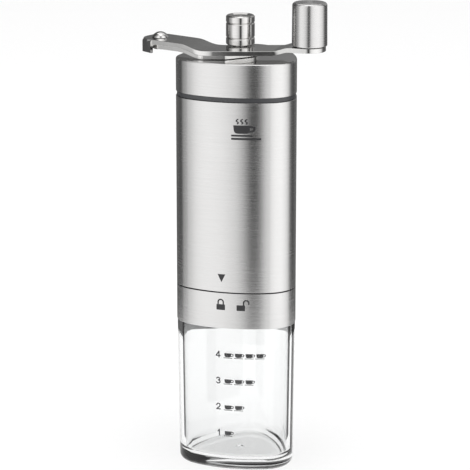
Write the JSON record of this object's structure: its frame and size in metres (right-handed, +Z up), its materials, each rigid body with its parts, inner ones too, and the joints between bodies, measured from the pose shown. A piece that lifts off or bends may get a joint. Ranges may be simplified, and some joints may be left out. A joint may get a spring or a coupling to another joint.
{
  "type": "hand crank coffee grinder",
  "caption": "Slim upright hand grinder with a steel sleeve, a folding top crank with a round knob, a conical burr set and a clear twist-off jar below.",
  "frame": {"origin": "on the spindle axis, at the face of the jar that the grinder stands on", "axes": "+Z up along the spindle; -Y is the flat front with the scale; +X to the right seen from the front"},
  "size_m": [0.0817, 0.0517, 0.2067],
  "materials": {
    "clear_plastic": "clear moulded plastic",
    "brushed_steel": "brushed round the body",
    "polished_steel": "polished",
    "bright_steel": "bright",
    "black_plastic": "fine satin",
    "smoke_plastic": "smoke grey",
    "seal_rubber": "matt",
    "bronze": "sintered",
    "ceramic": "fired ceramic"
  },
  "bodies": {
    "jar": {"jar": "clear_plastic", "collar_shell": "brushed_steel", "collar_insert": "black_plastic"},
    "seal": {"jar_seal": "seal_rubber"},
    "housing": {"body_shell": "brushed_steel", "hopper_liner": "smoke_plastic", "burr_carrier": "black_plastic", "carrier_screws": "bright_steel", "bearing_bridge": "black_plastic", "upper_bush": "bronze", "lower_bush": "bronze", "outer_burr": "ceramic", "burr_retainer": "black_plastic"},
    "lid": {"lid_cover": "brushed_steel", "lid_insert": "smoke_plastic", "lid_bush": "bronze", "lid_gasket": "seal_rubber"},
    "crank": {"hub_arm": "polished_steel", "pivot_rivet": "bright_steel"},
    "arm": {"knob_arm": "polished_steel", "knob_pin": "bright_steel", "knob_washer": "black_plastic"},
    "knob": {"knob_shell": "brushed_steel", "knob_core": "black_plastic"},
    "nut_collar": {"nut_collar": "bright_steel"},
    "nut": {"cap_nut": "polished_steel"},
    "spindle": {"spindle": "bright_steel", "spindle_clip": "bright_steel", "thrust_washer": "bright_steel", "burr_spring": "bright_steel"},
    "burr": {"inner_burr": "ceramic", "burr_hub": "black_plastic"},
    "adjuster": {"adjuster_knob": "black_plastic", "adjuster_nut": "bronze"}
  },
  "joints": [
    {"name": "body_lift", "type": "slide", "parent": "jar", "child": "seal", "axis": [0, 0, 1], "range_m": [0, 0.05]},
    {"name": "body_twist", "type": "hinge", "parent": "seal", "child": "housing", "pos_m": [0, 0, 0.08], "axis": [0, 0, 1], "range_deg": [0, 23]},
    {"name": "lid_lift", "type": "slide", "parent": "housing", "child": "lid", "axis": [0, 0, 1], "range_m": [0, 0.04]},
    {"name": "crank_turn", "type": "hinge", "parent": "lid", "child": "crank", "pos_m": [0, 0, 0.182], "axis": [0, 0, 1], "continuous": true},
    {"name": "arm_fold", "type": "hinge", "parent": "crank", "child": "arm", "pos_m": [-0.03525, -0.00185, 0.186], "axis": [0, 0, 1], "range_deg": [-170, 0]},
    {"name": "knob_spin", "type": "hinge", "parent": "arm", "child": "knob", "pos_m": [0.03172, -0.00535, 0.19], "axis": [0, 0, 1], "continuous": true},
    {"name": "nut_rise", "type": "slide", "parent": "crank", "child": "nut_collar", "axis": [0, 0, 1], "range_m": [0, 0.00601]},
    {"name": "nut_turn", "type": "hinge", "parent": "nut_collar", "child": "nut", "pos_m": [0, 0, 0.19], "axis": [0, 0, 1], "range_deg": [0, 2160]},
    {"name": "spindle_turn", "type": "hinge", "parent": "housing", "child": "spindle", "pos_m": [0, 0, 0.12], "axis": [0, 0, 1], "continuous": true},
    {"name": "burr_gap", "type": "slide", "parent": "spindle", "child": "burr", "axis": [0, 0, -1], "range_m": [0, 0.00101], "deforming": ["burr_spring"]},
    {"name": "adjuster_turn", "type": "hinge", "parent": "burr", "child": "adjuster", "pos_m": [0, 0, 0.075], "axis": [0, 0, 1], "range_deg": [0, 360]}
  ],
  "couplings": [
    {"joint": "spindle_turn", "follows": "crank_turn", "ratio": 1},
    {"joint": "nut_rise", "follows": "nut_turn", "m_per_rad": 0.00015915},
    {"joint": "burr_gap", "follows": "adjuster_turn", "m_per_rad": 0.00015915}
  ]
}
